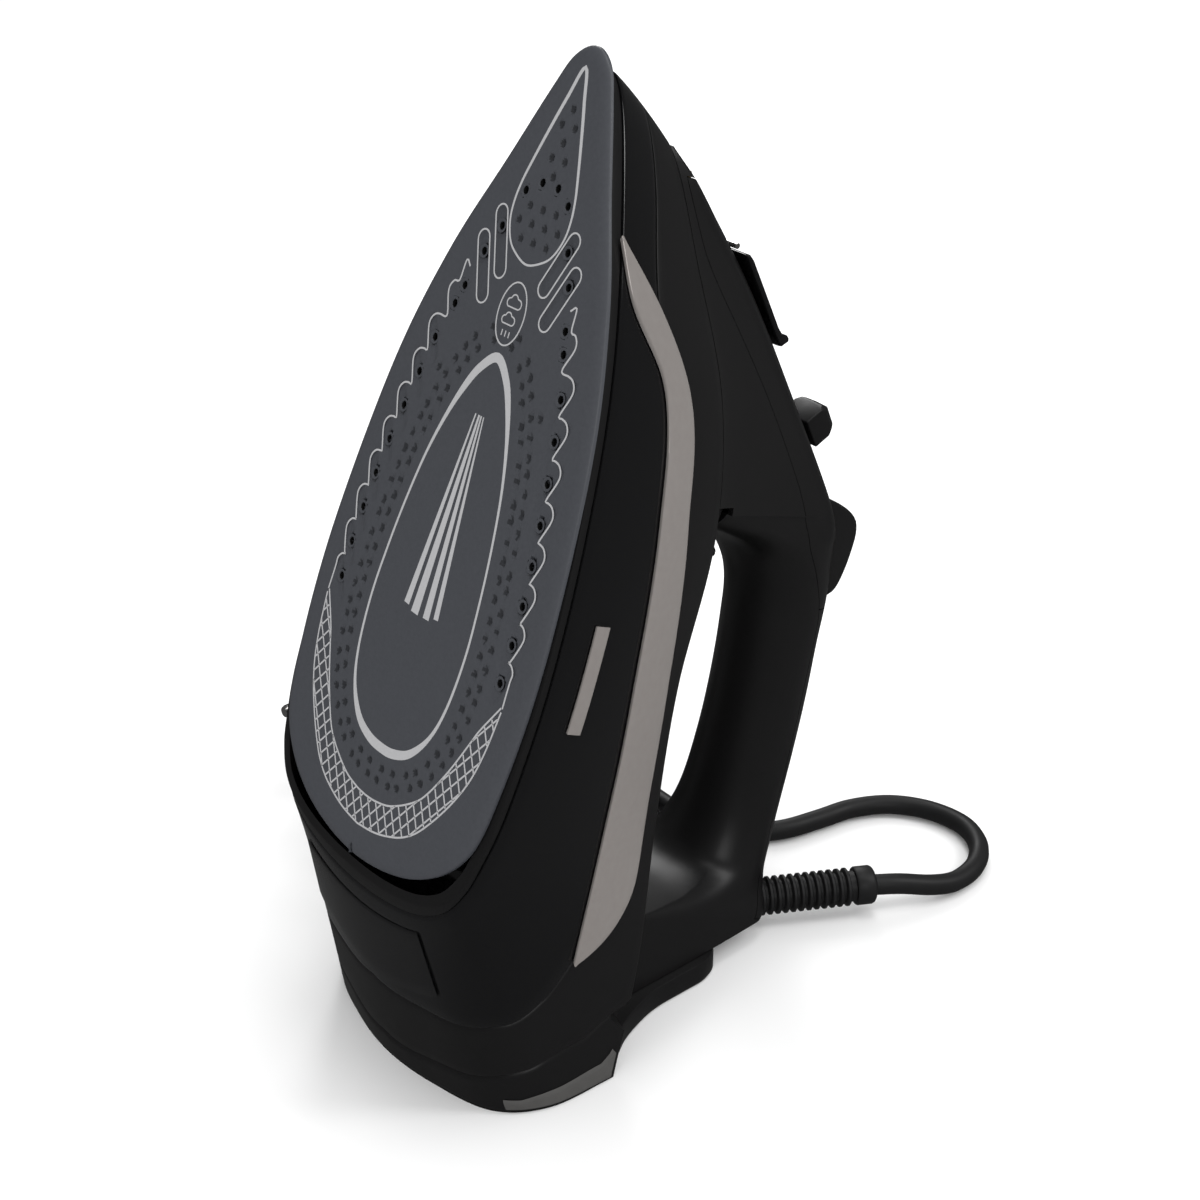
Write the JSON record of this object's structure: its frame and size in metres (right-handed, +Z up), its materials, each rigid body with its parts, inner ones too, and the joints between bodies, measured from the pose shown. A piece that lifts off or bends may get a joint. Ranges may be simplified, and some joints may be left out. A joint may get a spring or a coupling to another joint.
{
  "type": "clothes iron",
  "caption": "Corded steam iron standing on its heel, with ribbed soleplate, water tank, arched handle, dial, slider, thumb buttons, filler lid and coiled mains cord.",
  "frame": {"origin": "centre of the standing iron's box without its cord, on the surface that it stands on", "axes": "+Z up, towards the nose; -Y the way the sole's face looks; +X the iron's side with the badge"},
  "size_m": [0.2046, 0.2379, 0.2941],
  "materials": {
    "slate_ceramic": "slate grey ceramic coating with silver print",
    "gloss_black": "high gloss black",
    "charcoal_satin": "charcoal satin",
    "grey_pad": "matt dark grey",
    "trim_metallic": "warm grey metallic lacquer",
    "cast_aluminium": "as cast",
    "bright_steel": "bright",
    "brass": "turned",
    "black_rubber": "matt black",
    "natural_plastic": "unpainted"
  },
  "bodies": {
    "root": {"soleplate": "slate_ceramic", "heater_casting": "cast_aluminium", "heating_element": "bright_steel", "steam_chamber_cover": "bright_steel", "thermostat": "brass", "thermal_fuse": "natural_plastic", "terminal_block": "natural_plastic", "heat_shield_skirt": "charcoal_satin", "water_tank": "gloss_black", "upper_body_shell": "charcoal_satin", "trim_strip_right": "trim_metallic", "trim_strip_left": "trim_metallic", "badge_plate": "trim_metallic", "service_panel": "gloss_black", "heel_cover": "charcoal_satin", "heel_pad_right": "grey_pad", "heel_pad_left": "grey_pad", "handle_shell": "charcoal_satin", "front_top_cover": "charcoal_satin", "grip_top_cover": "charcoal_satin", "lid_hinge_pin": "bright_steel", "filler_funnel": "natural_plastic", "spray_pump": "natural_plastic", "burst_pump": "natural_plastic", "spray_hose": "natural_plastic", "burst_hose": "natural_plastic", "spray_nozzle": "brass", "handle_screw_front": "bright_steel", "handle_screw_rear": "bright_steel", "power_cord": "black_rubber", "cord_coil": "black_rubber", "cord_tie": "black_rubber", "plug_lead": "black_rubber", "plug_body": "black_rubber", "plug_pin_left": "bright_steel", "plug_pin_right": "bright_steel"},
    "dial": {"temperature_dial": "charcoal_satin", "thermostat_spindle": "brass"},
    "lid": {"filler_lid": "gloss_black"},
    "slider": {"steam_slider": "charcoal_satin"},
    "valve": {"drip_valve_rod": "bright_steel"},
    "spray": {"spray_button": "charcoal_satin", "spray_plunger": "bright_steel"},
    "burst": {"burst_button": "charcoal_satin", "burst_plunger": "bright_steel"},
    "guard": {"cord_guard": "black_rubber"}
  },
  "joints": [
    {"name": "dial_turn", "type": "hinge", "parent": "root", "child": "dial", "pos_m": [0, 0.01598, 0.16583], "axis": [0, 0.9265, -0.3762], "range_deg": [-15, 120]},
    {"name": "lid_hinge", "type": "hinge", "parent": "root", "child": "lid", "pos_m": [0, 0.0411, 0.2314], "axis": [1, 0, 0], "range_deg": [0, 100]},
    {"name": "slider_slide", "type": "slide", "parent": "root", "child": "slider", "axis": [0, 0.42, -0.9075], "range_m": [-0.0026, 0.0026]},
    {"name": "valve_lift", "type": "slide", "parent": "root", "child": "valve", "axis": [0, 0.9265, -0.3762], "range_m": [-0.0006, 0.0006]},
    {"name": "spray_press", "type": "slide", "parent": "root", "child": "spray", "axis": [0, -0.9265, 0.3762], "range_m": [0, 0.004], "stiffness_N_per_m": 400, "springref_m": -0.003},
    {"name": "burst_press", "type": "slide", "parent": "root", "child": "burst", "axis": [0, -0.9265, 0.3762], "range_m": [0, 0.004], "stiffness_N_per_m": 400, "springref_m": -0.003},
    {"name": "guard_swivel", "type": "hinge", "parent": "root", "child": "guard", "pos_m": [0.0156, 0.0452, 0.0094], "axis": [0.4509, 0.8926, 0], "range_deg": [-90, 90]}
  ],
  "couplings": [
    {"joint": "valve_lift", "follows": "slider_slide", "ratio": -0.2}
  ]
}
